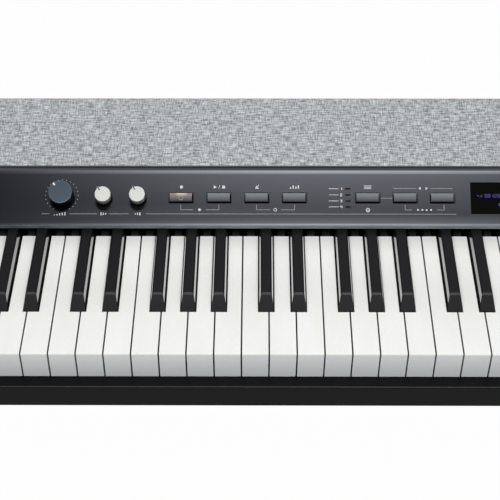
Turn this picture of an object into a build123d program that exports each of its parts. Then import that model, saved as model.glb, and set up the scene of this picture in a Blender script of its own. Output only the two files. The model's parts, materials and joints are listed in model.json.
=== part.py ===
from build123d import *
import os
from math import cos, radians, sin

os.makedirs("parts", exist_ok=True)

# A digital piano of 88 keys on a board stand, in millimetres.
# +X runs to the treble end, +Y to the rear, and the floor is at Z = 0.
# Depths are measured back from the front edge of the white keys, heights from the white key tops.
KEY_TOP = 735.0
MID_DEPTH = 125.0

# Keys
WHITE_COUNT = 52
PITCH = 23.5
KEY_GAP = 1.0
KEY_LENGTH = 150.5
KEY_DEPTH = 18.0
FRONT_CHAMFER = 1.0
APRON_WALL = 3.0
APRON_DROP = 28.0
BLACK_FRONT = 52.0
BLACK_SLOPE = 10.5
BLACK_HEIGHT = 12.0
BLACK_SHOULDER = 3.5
BLACK_BASE = 12.6
BLACK_TOP = 9.4
BLACK_DROP = 16.0
BLACK_CHAMFER = 1.1
BLACK_SLOT = 14.2
NOTES = "ABCDEFG"
# How far the black key after each natural stands from the gap between the two naturals
BLACK_SHIFT = {"C": -2.35, "D": 2.35, "F": -3.36, "G": 0.0, "A": 3.36}
OCTAVE_START = 16
OCTAVE_END = 23

# Key action
PIVOT_DEPTH = 205.0
PIVOT_HEIGHT = -14.0
ROD_RADIUS = 2.0
SADDLE = 2 * (ROD_RADIUS + 0.06)
ARM_WIDTH = 7.0
ARM_HEIGHT = 8.5
ARM_END = 211.0
GUIDE_POCKET = (9.0, 15.0)
GUIDE_PIN = (7.6, 11.0)
WHITE_PIN = 16.7
BLACK_PIN = 21.0
WHITE_GUIDE = 24.0
BLACK_GUIDE = 76.0
POCKET_DEPTH = 14.0
FRAME_WALL = 2.0
FRONT_RAIL = (14.0, 90.0, -30.0)
MIDDLE_RAIL = (104.0, 134.0, -36.0)
REAR_RAIL = (196.0, 214.0, -22.0)
FRAME_FLOOR = -53.0
FRAME_SPAN = (8.0, 222.0)

# Case
BODY_WIDTH = 1306.0
BODY_BACK = 264.0
BODY_FRONT = -14.0
CHEEK_INNER = 612.2
CAP_INNER = 641.0
CASE_BOTTOM = -58.0
CASE_WALL = 3.0
PANEL_WALL = 2.4
PANEL_LIP = (144.3, 14.9)
PANEL_LEDGE = (144.3, 18.5)
PANEL_FOOT = (146.4, 18.8)
PANEL_TILT = 33.0
PANEL_LENGTH = 50.0
PANEL_FLANGE = 11.2
LEDGE_END = 0.7
LEDGE_ROUND = 0.9
TOP_ROUND = 9.6
CLOTH_FOOT = (194.3, 49.7)
CLOTH_HEM = (198.8, 46.7)
CLOTH_TILT = 25.0
CLOTH_LENGTH = 69.7
CLOTH_WALL = 0.8
BOARD_WALL = 3.2
CLOTH_END = 63.5

# Controls: place along the piano, and place up the panel's slope
BUTTON_ROW = 24.85
BUTTON_SIZE = (21.8, 9.1)
BUTTON_SLOT = (23.2, 10.9)
BUTTON_X = {
    "record_button": -291.7,
    "play_button": -256.9,
    "metronome_button": -222.1,
    "rhythm_button": -187.5,
    "function_button": -120.1,
    "tempo_down_button": -85.7,
    "tempo_up_button": -51.5,
    "value_down_button": 94.0,
    "value_up_button": 128.6,
    "power_button": 172.0,
}
LAMP_X = -138.4
LAMP_ROWS = (16.3, 22.0, 27.8, 33.7)
LAMP_SIZE = (4.4, 1.6)
LAMP_PROUD = 0.25
DISPLAY_X = 15.7
DISPLAY_SIZE = (82.6, 30.8)
# Knobs: place, row, radius, height, and where the pointer stands, in degrees left of straight up
VOLUME = (-401.8, 27.0, 10.75, 10.0, 40.0)
BASS = (-363.0, 24.9, 7.35, 10.4, 37.0)
TREBLE = (-331.6, 24.9, 7.35, 10.4, 27.0)
KNOB_SPOTS = [VOLUME[:2], BASS[:2], TREBLE[:2]]
KNOB_LIFT = 0.4
KNOB_SIDES = 36
SHAFT_RADIUS = 3.0
SHAFT_SIDES = 8
SHAFT_PLAY = 0.05
BOARD_DROP = 13.0
BOARD_SPAN = (-440.0, 200.0)
PCB = 1.6

# Sockets at the rear
JACK_PLATE = (-480.0, -400.0, -20.0)
JACK_X = (-465.0, -442.0)
INLET_X = -417.0
JACK_HEIGHT = -38.0
JACK_BORE = 3.2
JACK_NUT = 6.4
INLET_SIZE = 10.0

# Speakers
SPEAKER_X = 500.0
SPEAKER_ROW = 34.0
SPEAKER_SIZE = (116.0, 52.0)

# Stand
PANEL_OUTER = 650.0
BOARD_THICK = 18.0
STAND_TOP = KEY_TOP - 63.0
FOOT_TOP = 50.0
PAD_HEIGHT = 8.0
PAD_SIZE = (26.0, 34.0)
FOOT_LENGTH = 360.0
FOOT_X = (617.0, 653.0)
REAR_BOARD = (70.0, 440.0, 622.0)
BRACKET_Y = 80.0
BRACKET_WIDTH = 40.0
BRACKET_WALL = 2.5
BOARD_BOLT = 3.5
BOLT_SIDES = 8
CASE_BOLT_X = 619.0
CASE_BOLT = 3.0
BOLT_SLOT = (6.4, 10.0)
CASE_PAD = (14.0, 40.0)
CASE_PAD_Y = 35.0
SIDE_FOOT = 100.0
SIDE_HEAD = 115.0
BOARD_CHAMFER = 1.5
BOLT_INSET = 35.0
BOLT_REACH = 48.0
TOE_HEIGHT = 16.0
TOE_SLOPE = 36.0
FOOT_CHAMFER = 2.0
BRACKET_EDGE = 606.0
BRACKET_DROP = -110.0
GRIP_RADIUS = 9.0
GRIP_HEIGHT = 9.0
CASE_BOLT_LENGTH = 18.0
BOARD_BOLT_HEAD = 3.0

KEYS_WIDTH = WHITE_COUNT * PITCH
WHITE_WIDTH = PITCH - KEY_GAP
BLACK_NOTCH = BLACK_FRONT - (BLACK_SLOT - BLACK_BASE) / 2
PANEL_INNER = PANEL_OUTER - BOARD_THICK


def depth(d):
    return d - MID_DEPTH


def level(h):
    return KEY_TOP + h


def side(points):
    """Points given as depth and height, for a sketch on the side plane."""
    return [(depth(d), level(h)) for d, h in points]


def slope_plane(foot, tilt):
    """A plane on a slope that rises to the rear: X along the piano, Y up the slope, Z out of the face."""
    angle = radians(tilt)
    origin = (0, depth(foot[0]), level(foot[1]))
    return Plane(origin=origin, x_dir=(1, 0, 0), z_dir=(0, -sin(angle), cos(angle)))


def up_slope(foot, tilt, length):
    angle = radians(tilt)
    return (foot[0] + length * cos(angle), foot[1] + length * sin(angle))


PANEL = slope_plane(PANEL_FOOT, PANEL_TILT)
PANEL_NORMAL = Axis(PANEL.origin, PANEL.z_dir)
GRILLE = slope_plane(CLOTH_FOOT, CLOTH_TILT)
PANEL_TOP = up_slope(PANEL_FOOT, PANEL_TILT, PANEL_LENGTH)
CLOTH_TOP = up_slope(CLOTH_FOOT, CLOTH_TILT, CLOTH_LENGTH)
CLOTH_REAR = BODY_BACK - 0.8
CLOTH_LINE = [CLOTH_FOOT, CLOTH_TOP, (CLOTH_REAR, 73.5), (CLOTH_REAR, CLOTH_END)]


def save(piece, name):
    piece.part.label = name
    export_step(piece.part, f"parts/{name}.step")


# Places of the keys
def letter(n):
    return NOTES[n % len(NOTES)]


def gap_x(n):
    """Middle of the gap on the treble side of natural n."""
    return (n + 1 - WHITE_COUNT / 2) * PITCH


def white_x(n):
    return gap_x(n) - PITCH / 2


def has_black(n):
    return 0 <= n < WHITE_COUNT - 1 and letter(n) in BLACK_SHIFT


def black_x(n):
    return gap_x(n) + BLACK_SHIFT[letter(n)]


def tail_span(n):
    """Left and right side of a natural between the black keys."""
    left = black_x(n - 1) + BLACK_SLOT / 2 if has_black(n - 1) else gap_x(n - 1) + KEY_GAP / 2
    right = black_x(n) - BLACK_SLOT / 2 if has_black(n) else gap_x(n) - KEY_GAP / 2
    return left, right


def tail_x(n):
    return sum(tail_span(n)) / 2


ARM_START = KEY_LENGTH - 1.0
ARM_MIDDLE = depth((ARM_START + ARM_END) / 2)
PIVOT = Location((0, depth(PIVOT_DEPTH), level(PIVOT_HEIGHT)), (0, 90, 0))


def white_keys(numbers, name, guided):
    """Naturals: caps cut round the black keys, front aprons, and arms that sit on the rod."""
    with BuildPart() as keys:
        with BuildSketch(Plane.XY.offset(level(-KEY_DEPTH))):
            for n in numbers:
                tail_left, tail_right = tail_span(n)
                with Locations((white_x(n), depth(BLACK_NOTCH / 2))):
                    Rectangle(WHITE_WIDTH, BLACK_NOTCH)
                with Locations((tail_x(n), depth((BLACK_NOTCH + KEY_LENGTH) / 2))):
                    Rectangle(tail_right - tail_left, KEY_LENGTH - BLACK_NOTCH)
        extrude(amount=KEY_DEPTH)
        chamfer(keys.edges().filter_by(Axis.X).group_by(Axis.Y)[0].group_by(Axis.Z)[-1], FRONT_CHAMFER)
        with BuildSketch(Plane.XY.offset(level(-APRON_DROP))):
            with Locations([(white_x(n), depth(APRON_WALL / 2)) for n in numbers]):
                Rectangle(WHITE_WIDTH, APRON_WALL)
        extrude(amount=APRON_DROP - KEY_DEPTH)
        with BuildSketch(Plane.XY.offset(level(PIVOT_HEIGHT))):
            with Locations([(tail_x(n), ARM_MIDDLE) for n in numbers]):
                Rectangle(ARM_WIDTH, ARM_END - ARM_START)
        extrude(amount=ARM_HEIGHT)
        if guided:
            with BuildSketch(Plane.XY.offset(level(-KEY_DEPTH))):
                with Locations([(white_x(n), depth(WHITE_GUIDE)) for n in numbers]):
                    Rectangle(*GUIDE_POCKET)
            extrude(amount=POCKET_DEPTH, mode=Mode.SUBTRACT)
        with BuildSketch(Plane.YZ.offset(-KEYS_WIDTH / 2)):
            with Locations(*side([(PIVOT_DEPTH, PIVOT_HEIGHT)])):
                Rectangle(SADDLE, SADDLE)
        extrude(amount=KEYS_WIDTH, mode=Mode.SUBTRACT)
    save(keys, name)


def black_keys(numbers, name, guided):
    """Sharps: tapered bars with a sloped front, and arms that sit on the rod."""
    with BuildPart() as keys:
        with BuildSketch(Plane.XZ.offset(-depth(BLACK_FRONT))) as bars:
            for n in numbers:
                x = black_x(n)
                with BuildLine():
                    Polyline(
                        (x - BLACK_BASE / 2, level(-BLACK_DROP)),
                        (x + BLACK_BASE / 2, level(-BLACK_DROP)),
                        (x + BLACK_BASE / 2, level(BLACK_SHOULDER)),
                        (x + BLACK_TOP / 2, level(BLACK_HEIGHT)),
                        (x - BLACK_TOP / 2, level(BLACK_HEIGHT)),
                        (x - BLACK_BASE / 2, level(BLACK_SHOULDER)),
                        close=True,
                    )
                make_face()
            chamfer(bars.vertices().group_by(Axis.Y)[-1], BLACK_CHAMFER)
        extrude(amount=BLACK_FRONT - KEY_LENGTH)
        # The front leans back to a crease, which is eased by a short facet
        crease = BLACK_FRONT + BLACK_SLOPE
        with BuildSketch(Plane.YZ.offset(-KEYS_WIDTH / 2)):
            with BuildLine():
                Polyline(
                    *side([
                        (BLACK_FRONT, 0),
                        (crease - 0.9, BLACK_HEIGHT - 1.1),
                        (crease + 1.1, BLACK_HEIGHT),
                        (crease + 1.1, BLACK_HEIGHT + 1),
                        (BLACK_FRONT - 1, BLACK_HEIGHT + 1),
                        (BLACK_FRONT - 1, 0),
                    ]),
                    close=True,
                )
            make_face()
        extrude(amount=KEYS_WIDTH, mode=Mode.SUBTRACT)
        with BuildSketch(Plane.XY.offset(level(PIVOT_HEIGHT))):
            with Locations([(black_x(n), ARM_MIDDLE) for n in numbers]):
                Rectangle(ARM_WIDTH, ARM_END - ARM_START)
        extrude(amount=ARM_HEIGHT)
        if guided:
            with BuildSketch(Plane.XY.offset(level(-BLACK_DROP))):
                with Locations([(black_x(n), depth(BLACK_GUIDE)) for n in numbers]):
                    Rectangle(*GUIDE_POCKET)
            extrude(amount=POCKET_DEPTH, mode=Mode.SUBTRACT)
        with BuildSketch(Plane.YZ.offset(-KEYS_WIDTH / 2)):
            with Locations(*side([(PIVOT_DEPTH, PIVOT_HEIGHT)])):
                Rectangle(SADDLE, SADDLE)
        extrude(amount=KEYS_WIDTH, mode=Mode.SUBTRACT)
    save(keys, name)


OCTAVE = range(OCTAVE_START, OCTAVE_END)
BASS_KEYS = range(0, OCTAVE_START)
TREBLE_KEYS = range(OCTAVE_END, WHITE_COUNT)
# The keys of one octave are pieces of their own, with guide pockets; the rest are two plain banks
for n in OCTAVE:
    white_keys([n], f"key_{letter(n).lower()}3", guided=True)
for n in filter(has_black, OCTAVE):
    black_keys([n], f"key_{letter(n).lower()}_sharp3", guided=True)
for bank, numbers in (("bass", BASS_KEYS), ("treble", TREBLE_KEYS)):
    white_keys(numbers, f"{bank}_white_keys", guided=False)
    black_keys(list(filter(has_black, numbers)), f"{bank}_black_keys", guided=False)

# Key frame: one moulding of three rails, with guide pins and rod posts
WHITE_PINS = [(white_x(n), depth(WHITE_GUIDE)) for n in OCTAVE]
BLACK_PINS = [(black_x(n), depth(BLACK_GUIDE)) for n in filter(has_black, OCTAVE)]
POST_WIDTH = 3.0
POST_HEIGHT = 13.0
POST_X = [gap_x(n) for n in range(WHITE_COUNT - 1) if letter(n) == "B"]
POST_X += [(POST_WIDTH - KEYS_WIDTH) / 2, (KEYS_WIDTH - POST_WIDTH) / 2]
FRAME_LINE = [(FRAME_SPAN[0], FRAME_FLOOR)]
for rail_front, rail_back, rail_top in (FRONT_RAIL, MIDDLE_RAIL, REAR_RAIL):
    FRAME_LINE += [(rail_front, FRAME_FLOOR), (rail_front, rail_top)]
    FRAME_LINE += [(rail_back, rail_top), (rail_back, FRAME_FLOOR)]
FRAME_LINE += [(FRAME_SPAN[1], FRAME_FLOOR)]
with BuildPart() as key_frame:
    with BuildSketch(Plane.YZ.offset(-KEYS_WIDTH / 2)):
        with BuildLine():
            Polyline(*side(FRAME_LINE))
            offset(amount=FRAME_WALL, side=Side.RIGHT, kind=Kind.INTERSECTION)
        make_face()
    extrude(amount=KEYS_WIDTH)
    with BuildSketch(Plane.XY.offset(level(FRONT_RAIL[2]))):
        with Locations(WHITE_PINS):
            Rectangle(*GUIDE_PIN)
    extrude(amount=WHITE_PIN)
    with BuildSketch(Plane.XY.offset(level(FRONT_RAIL[2]))):
        with Locations(BLACK_PINS):
            Rectangle(*GUIDE_PIN)
    extrude(amount=BLACK_PIN)
    with BuildSketch(Plane.XY.offset(level(REAR_RAIL[2]))):
        with Locations([(x, depth(PIVOT_DEPTH)) for x in POST_X]):
            Rectangle(POST_WIDTH, REAR_RAIL[1] - REAR_RAIL[0] - 2)
    extrude(amount=POST_HEIGHT)
    # The rod drops into slots in the posts
    with BuildSketch(Plane.YZ.offset(-KEYS_WIDTH / 2)):
        with Locations(*side([(PIVOT_DEPTH, PIVOT_HEIGHT - ROD_RADIUS)])):
            Rectangle(2 * ROD_RADIUS, POST_HEIGHT, align=(Align.CENTER, Align.MIN))
    extrude(amount=KEYS_WIDTH, mode=Mode.SUBTRACT)
save(key_frame, "key_frame")

with BuildPart() as key_pivot_rod:
    with Locations(PIVOT):
        Cylinder(ROD_RADIUS, KEYS_WIDTH)
save(key_pivot_rod, "key_pivot_rod")

# Rubber contact strip on the middle rail: a flat base under one long dome
STRIP = (108.0, 130.0)
DOME = (113.0, 119.0, 125.0)
STRIP_WALL = 3.0
DOME_HEIGHT = 12.6
with BuildPart() as key_contact_strip:
    with BuildSketch(Plane.YZ.offset(-KEYS_WIDTH / 2 + 1)):
        with BuildLine():
            base = MIDDLE_RAIL[2]
            shoulder = base + STRIP_WALL
            Polyline(*side([(DOME[2], shoulder), (STRIP[1], shoulder), (STRIP[1], base)]))
            Polyline(*side([(STRIP[1], base), (STRIP[0], base), (STRIP[0], shoulder), (DOME[0], shoulder)]))
            ThreePointArc(*side([(DOME[0], shoulder), (DOME[1], base + DOME_HEIGHT), (DOME[2], shoulder)]))
        make_face()
    extrude(amount=KEYS_WIDTH - 2)
save(key_contact_strip, "key_contact_strip")

FELT = (38.0, 52.0)
FELT_WALL = 3.0
with BuildPart() as key_stop_felt:
    with BuildSketch(Plane.YZ.offset(-KEYS_WIDTH / 2 + 1)):
        with BuildLine():
            base = FRONT_RAIL[2]
            top = base + FELT_WALL
            felt_side = [(FELT[0], base), (FELT[1], base), (FELT[1] - 1, top), (FELT[0] + 1, top)]
            Polyline(*side(felt_side), close=True)
        make_face()
    extrude(amount=KEYS_WIDTH - 2)
save(key_stop_felt, "key_stop_felt")

# Key slip: a channel that closes the front below the keys
SLIP_TOP = -24.0
SLIP_EDGE = -50.2
SLIP_BACK = -3.7
SLIP_TONGUE = -44.0
TRAY_FRONT = 4.0
with BuildPart() as key_slip:
    with BuildSketch(Plane.YZ.offset(-CHEEK_INNER)) as slip:
        with BuildLine():
            Polyline(*side([
                (SLIP_BACK, SLIP_TOP),
                (BODY_FRONT, SLIP_TOP),
                (BODY_FRONT, SLIP_EDGE),
                (TRAY_FRONT, CASE_BOTTOM),
                (TRAY_FRONT, SLIP_TONGUE),
            ]))
            offset(amount=CASE_WALL, side=Side.LEFT)
        make_face()
        for corner, radius in ((SLIP_TOP, 1.5), (SLIP_EDGE, 0.8)):
            fillet(slip.vertices().sort_by_distance((depth(BODY_FRONT), level(corner)))[0], radius)
    extrude(amount=2 * CHEEK_INNER)
save(key_slip, "key_slip")

# Bottom case: a ribbed tray with a low wall at the front and the rear
FLOOR = CASE_BOTTOM + CASE_WALL
TRAY_BACK = BODY_BACK - CASE_WALL
FRONT_WALL = -42.0
REAR_WALL = -38.0
RIB = (2.4, 35.0)
RIB_DEPTH = 240.5
RIB_HEIGHT = 9.0
RIB_SPOTS = [x for x in range(-560, 561, 80) if not -520 < x < -80]
POST = (6.0, 6.0)
POST_SPOTS = [(-370, 228), (-130, 228), (-370, 250), (-130, 250)]
BOARD_LIFT = 5.0
BOLT_BITE = 15.0
with BuildPart() as bottom_case:
    with BuildSketch(Plane.YZ.offset(-BODY_WIDTH / 2)):
        with BuildLine():
            Polyline(*side([
                (TRAY_FRONT, CASE_BOTTOM),
                (TRAY_BACK, CASE_BOTTOM),
                (TRAY_BACK, REAR_WALL),
                (TRAY_BACK - CASE_WALL, REAR_WALL),
                (TRAY_BACK - CASE_WALL, FLOOR),
                (TRAY_FRONT + CASE_WALL, FLOOR),
                (TRAY_FRONT + CASE_WALL, FRONT_WALL),
                (TRAY_FRONT, FRONT_WALL),
            ]), close=True)
        make_face()
    extrude(amount=BODY_WIDTH)
    # The cheeks stand on the tray's ends, so its walls stop short of them
    for end in (-1, 1):
        with Locations((end * (BODY_WIDTH / 2 + CHEEK_INNER) / 2, depth(130), level(FLOOR + 15))):
            Box(BODY_WIDTH / 2 - CHEEK_INNER, 300, 30, mode=Mode.SUBTRACT)
    with BuildSketch(Plane.XY.offset(level(FLOOR))):
        with Locations([(x, depth(RIB_DEPTH)) for x in RIB_SPOTS]):
            Rectangle(*RIB)
    extrude(amount=RIB_HEIGHT)
    with BuildSketch(Plane.XY.offset(level(FLOOR))):
        with Locations([(x, depth(d)) for x, d in POST_SPOTS]):
            Rectangle(*POST)
    extrude(amount=BOARD_LIFT)
    # Way for the sockets, and slots for the four case bolts
    jack_middle = (JACK_PLATE[0] + JACK_PLATE[1]) / 2
    with Locations((jack_middle, depth(259.5), level(FLOOR + 15))):
        Box(JACK_PLATE[1] - JACK_PLATE[0], 8, 30, mode=Mode.SUBTRACT)
    with BuildSketch(Plane.XY.offset(level(CASE_BOTTOM))):
        with GridLocations(2 * CASE_BOLT_X, 2 * BRACKET_Y, 2, 2):
            Rectangle(*BOLT_SLOT)
    extrude(amount=CASE_WALL, mode=Mode.SUBTRACT)
save(bottom_case, "bottom_case")

# Cheeks: an end cap with the whole side outline, a block beside the keys and a rail behind it
CHEEK_EDGE = -6.0
CHEEK_NOSE = (-4.0, 6.0)
CHEEK_FLAT = 138.0
CHEEK_RISE = (146.0, 20.2)
CHEEK_PROUD = 1.4
CHEEK_SHOULDER = 74.0
CHEEK_ROUND = 5.0
BLOCK_BACK = 143.0
RAIL_TOP = -25.0
RAIL_BACK = 257.0
CHEEK_LINE = [
    (BODY_FRONT, FLOOR),
    (BODY_FRONT, CHEEK_EDGE),
    CHEEK_NOSE,
    (CHEEK_FLAT, CHEEK_NOSE[1]),
    CHEEK_RISE,
    (PANEL_TOP[0], PANEL_TOP[1] + CHEEK_PROUD),
    (CLOTH_FOOT[0], CLOTH_FOOT[1] + CHEEK_PROUD),
    (CLOTH_TOP[0], CLOTH_TOP[1] + CHEEK_PROUD),
    (BODY_BACK, CHEEK_SHOULDER),
    (BODY_BACK, FLOOR),
]
BLOCK_LINE = [
    (BODY_FRONT, FLOOR),
    (BODY_FRONT, CHEEK_EDGE),
    CHEEK_NOSE,
    (BLOCK_BACK, CHEEK_NOSE[1]),
    (BLOCK_BACK, RAIL_TOP),
    (RAIL_BACK, RAIL_TOP),
    (RAIL_BACK, FLOOR),
]
with BuildPart() as right_cheek:
    cap = (CHEEK_LINE, CAP_INNER, BODY_WIDTH / 2)
    block = (BLOCK_LINE, CHEEK_INNER, CAP_INNER)
    for outline, start, end in (cap, block):
        with BuildSketch(Plane.YZ.offset(start)) as cheek_side:
            with BuildLine():
                Polyline(*side(outline), close=True)
            make_face()
            for corner in ((BODY_FRONT, CHEEK_EDGE), CHEEK_NOSE):
                fillet(cheek_side.vertices().sort_by_distance(side([corner])[0])[0], CHEEK_ROUND)
        extrude(amount=end - start)
    with BuildSketch(Plane.XY.offset(level(FLOOR))):
        with Locations((CASE_BOLT_X, -BRACKET_Y), (CASE_BOLT_X, BRACKET_Y)):
            RegularPolygon(CASE_BOLT, BOLT_SIDES)
    extrude(amount=BOLT_BITE, mode=Mode.SUBTRACT)
    chamfer(right_cheek.edges().filter_by(Plane.YZ).group_by(Axis.X)[-1], 1.0)
with BuildPart() as left_cheek:
    add(mirror(right_cheek.part, about=Plane.YZ, mode=Mode.PRIVATE))
save(right_cheek, "right_cheek")
save(left_cheek, "left_cheek")

# Control panel: a bent wall with a lip over the keys, pierced for the controls
flange_end = (PANEL_TOP[0] + PANEL_FLANGE, PANEL_TOP[1])
ledge_end = up_slope(PANEL_FOOT, PANEL_TILT, LEDGE_END)
lip_end = (PANEL_LIP[0] + 11, PANEL_LIP[1])
BOSS = (4.0, 4.0)
BOSS_ROW = 43.5
BOSS_X = (-600, -425, -310, -160, -30, 65, 190, 330, 470, 600)
with BuildPart() as control_panel:
    with BuildSketch(Plane.YZ.offset(-CAP_INNER)) as bend:
        with BuildLine():
            Polyline(*side([lip_end, PANEL_LIP, PANEL_LEDGE, ledge_end, PANEL_TOP, flange_end]))
            offset(amount=PANEL_WALL, side=Side.RIGHT)
        make_face()
        for corner, radius in ((PANEL_LEDGE, LEDGE_ROUND), (PANEL_TOP, TOP_ROUND)):
            fillet(bend.vertices().sort_by_distance(side([corner])[0])[0], radius)
    extrude(amount=2 * CAP_INNER)
    with BuildSketch(PANEL.offset(-PANEL_WALL)):
        with Locations([(x, BOSS_ROW) for x in BOSS_X]):
            Rectangle(*BOSS)
    extrude(amount=PANEL_WALL - BOARD_DROP)
    with BuildSketch(PANEL.offset(1)):
        with Locations([(x, BUTTON_ROW) for x in BUTTON_X.values()]):
            Rectangle(*BUTTON_SLOT)
        with Locations(KNOB_SPOTS):
            RegularPolygon(SHAFT_RADIUS + 1.2, SHAFT_SIDES)
        with Locations([(LAMP_X, row) for row in LAMP_ROWS]):
            Rectangle(*LAMP_SIZE)
        with Locations((DISPLAY_X, BUTTON_ROW)):
            Rectangle(*DISPLAY_SIZE)
    extrude(amount=-PANEL_WALL - 2, mode=Mode.SUBTRACT)
save(control_panel, "control_panel")

# Buttons: a cap in the panel's slot, a flange that stops it from below, and a stem to its switch
BUTTON_PROUD = 1.0
FLANGE_DROP = 3.0
FLANGE_RIM = 2.6
FLANGE_WALL = 1.2
STEM = (6.0, 5.0)
STEM_DROP = 7.2


def button(name, x):
    with BuildPart() as key:
        with BuildSketch(PANEL.offset(BUTTON_PROUD)):
            with Locations((x, BUTTON_ROW)):
                Rectangle(*BUTTON_SIZE)
        extrude(amount=-BUTTON_PROUD - FLANGE_DROP)
        chamfer(key.faces().sort_by(PANEL_NORMAL)[-1].edges(), 0.4)
        with BuildSketch(PANEL.offset(-FLANGE_DROP)):
            with Locations((x, BUTTON_ROW)):
                Rectangle(BUTTON_SIZE[0] + FLANGE_RIM, BUTTON_SIZE[1] + FLANGE_RIM)
        extrude(amount=-FLANGE_WALL)
        with BuildSketch(PANEL.offset(-FLANGE_DROP)):
            with Locations((x, BUTTON_ROW)):
                Rectangle(*STEM)
        extrude(amount=FLANGE_DROP - STEM_DROP)
    save(key, name)


for name, x in BUTTON_X.items():
    button(name, x)


# Knobs: a turned cap with a pointer, on a shaft that turns in its pot
CAP_CHAMFER = 0.8
GROOVE_WIDTH = 1.2
GROOVE_DEPTH = 0.4
SHAFT_LENGTH = 9.5
NIB = 1.35


def knob(name, x, row, radius, height, pointer, nib):
    turn = radians(pointer)
    face = Plane(
        origin=PANEL.from_local_coords((x, row, 0)),
        x_dir=PANEL.x_dir * cos(turn) + PANEL.y_dir * sin(turn),
        z_dir=PANEL.z_dir,
    )
    with BuildPart() as cap:
        with BuildSketch(face.offset(KNOB_LIFT)):
            RegularPolygon(radius, KNOB_SIDES)
            if nib:
                with BuildLine():
                    Polyline((-nib, radius * 0.9), (0, radius + nib), (nib, radius * 0.9), close=True)
                make_face()
        extrude(amount=height)
        chamfer(cap.faces().sort_by(PANEL_NORMAL)[-1].edges(), CAP_CHAMFER)
        # Pointer groove, from near the rim towards the middle
        with BuildSketch(face.offset(KNOB_LIFT + height)):
            with Locations((0, radius * 0.62)):
                Rectangle(GROOVE_WIDTH, radius * 0.5)
        extrude(amount=-GROOVE_DEPTH, mode=Mode.SUBTRACT)
        with BuildSketch(face.offset(KNOB_LIFT)):
            RegularPolygon(SHAFT_RADIUS, SHAFT_SIDES)
        extrude(amount=-SHAFT_LENGTH - KNOB_LIFT)
    save(cap, name)


knob("volume_knob", *VOLUME, 0)
knob("bass_knob", *BASS, NIB)
knob("treble_knob", *TREBLE, NIB)

# Pots on the panel board, bored for the shafts
POT = (14.0, 16.0)
POT_HEIGHT = 6.5
COLLAR_RADIUS = 5.0
COLLAR_SIDES = 6
COLLAR_HEIGHT = 3.5
POT_BORE = 10.0
with BuildPart() as control_pots:
    with BuildSketch(PANEL.offset(-BOARD_DROP)):
        with Locations(KNOB_SPOTS):
            Rectangle(*POT)
    extrude(amount=POT_HEIGHT)
    with BuildSketch(PANEL.offset(-BOARD_DROP + POT_HEIGHT)):
        with Locations(KNOB_SPOTS):
            RegularPolygon(COLLAR_RADIUS, COLLAR_SIDES)
    extrude(amount=COLLAR_HEIGHT)
    with BuildSketch(PANEL.offset(-POT_BORE)):
        with Locations(KNOB_SPOTS):
            Circle(SHAFT_RADIUS + SHAFT_PLAY)
    extrude(amount=POT_BORE, mode=Mode.SUBTRACT)
save(control_pots, "control_pots")

# Panel board, with a switch under each button
SWITCH = (6.0, 6.0)
SWITCH_HEIGHT = 4.2
BOARD_ROW = 25.5
BOARD_WIDTH = 41.0
with BuildPart() as panel_board:
    with BuildSketch(PANEL.offset(-BOARD_DROP)):
        with Locations((sum(BOARD_SPAN) / 2, BOARD_ROW)):
            Rectangle(BOARD_SPAN[1] - BOARD_SPAN[0], BOARD_WIDTH)
    extrude(amount=-PCB)
    with BuildSketch(PANEL.offset(-BOARD_DROP)):
        with Locations([(x, BUTTON_ROW) for x in BUTTON_X.values()]):
            Rectangle(*SWITCH)
    extrude(amount=SWITCH_HEIGHT)
save(panel_board, "panel_board")

with BuildPart() as indicator_lamps:
    with BuildSketch(PANEL.offset(LAMP_PROUD)):
        with Locations([(LAMP_X, row) for row in LAMP_ROWS]):
            Rectangle(*LAMP_SIZE)
    extrude(amount=-LAMP_PROUD - BOARD_DROP)
save(indicator_lamps, "indicator_lamps")

WINDOW_WALL = 2.0
MODULE_TRIM = (4.0, 2.0)
GLASS_TRIM = (14.0, 10.0)
GLASS_DROP = 1.0
with BuildPart() as display_window:
    with BuildSketch(PANEL):
        with Locations((DISPLAY_X, BUTTON_ROW)):
            Rectangle(*DISPLAY_SIZE)
    extrude(amount=-WINDOW_WALL)
save(display_window, "display_window")

with BuildPart() as display_module:
    with BuildSketch(PANEL.offset(-WINDOW_WALL)):
        with Locations((DISPLAY_X, BUTTON_ROW)):
            Rectangle(DISPLAY_SIZE[0] - MODULE_TRIM[0], DISPLAY_SIZE[1] - MODULE_TRIM[1])
    extrude(amount=WINDOW_WALL - BOARD_DROP)
    with BuildSketch(PANEL.offset(-WINDOW_WALL)):
        with Locations((DISPLAY_X, BUTTON_ROW)):
            Rectangle(DISPLAY_SIZE[0] - GLASS_TRIM[0], DISPLAY_SIZE[1] - GLASS_TRIM[1])
    extrude(amount=-GLASS_DROP, mode=Mode.SUBTRACT)
save(display_module, "display_module")

# Speaker band: cloth stretched over a board that is slotted in front of the two speakers
SLOT_COUNT = 6
SLOT_STEP = 16.0
SOUND_SLOT = (8.0, 38.0)
BOARD_FOOT = up_slope(CLOTH_FOOT, CLOTH_TILT, 3.0)
with BuildPart() as grille_cloth:
    with BuildSketch(Plane.YZ.offset(-CAP_INNER)):
        with BuildLine():
            FilletPolyline(*side([CLOTH_HEM] + CLOTH_LINE), radius=[1.0, 4.0, 4.0])
            offset(amount=CLOTH_WALL, side=Side.RIGHT)
        make_face()
    extrude(amount=2 * CAP_INNER)
save(grille_cloth, "grille_cloth")

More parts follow.
